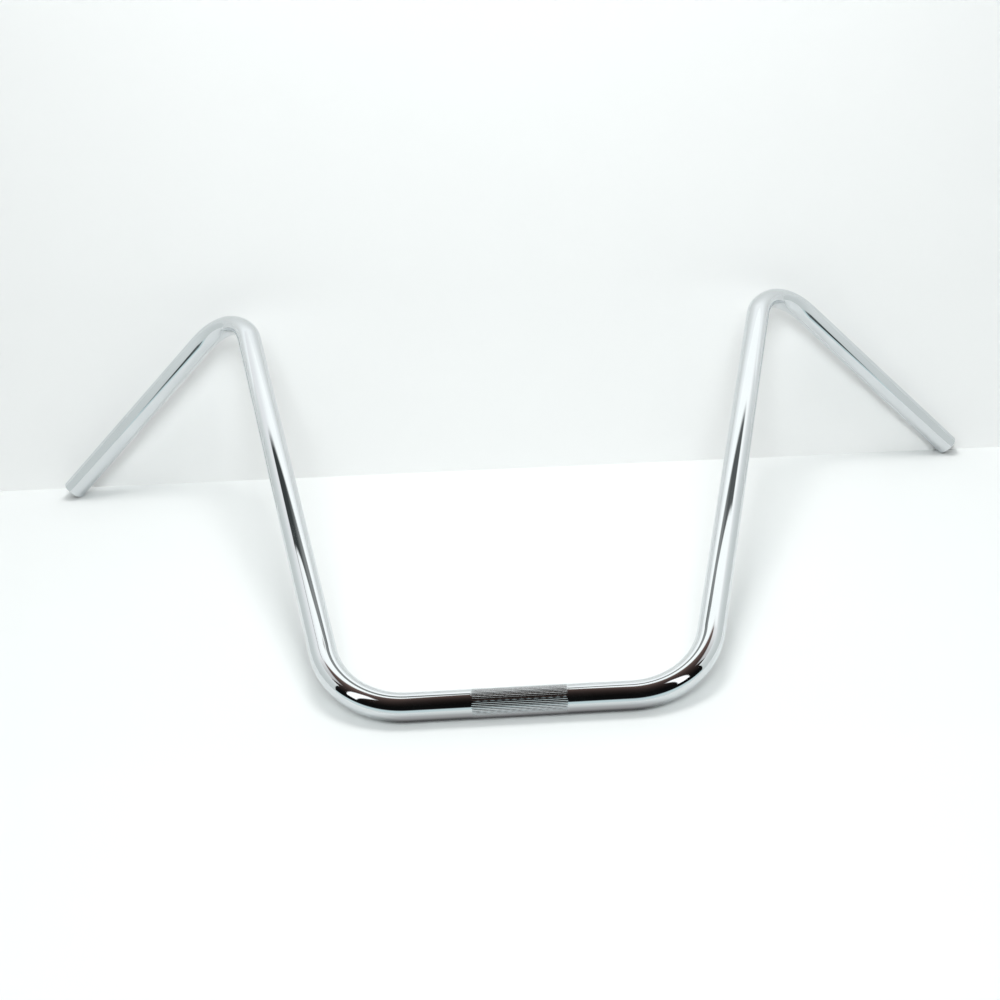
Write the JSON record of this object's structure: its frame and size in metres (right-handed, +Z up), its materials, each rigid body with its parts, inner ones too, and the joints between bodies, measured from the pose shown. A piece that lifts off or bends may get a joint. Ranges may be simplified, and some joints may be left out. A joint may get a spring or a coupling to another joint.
{
  "type": "moped handlebar",
  "caption": "Tall moped handlebar bent from a single chrome-plated tube, with a knurled clamp seat in its base run and swept, dropping ends for the grips.",
  "frame": {"origin": "centre of the knurled clamp seat, on the axis of the base run", "axes": "+X along the base run, +Y from the base run towards the shoulders of the bar as it lies, +Z up; the rider's right hand is at -X"},
  "size_m": [0.9514, 0.4613, 0.1926],
  "materials": {
    "chrome": "polished plating"
  },
  "bodies": {
    "root": {"handlebar_tube": "chrome"}
  },
  "joints": []
}
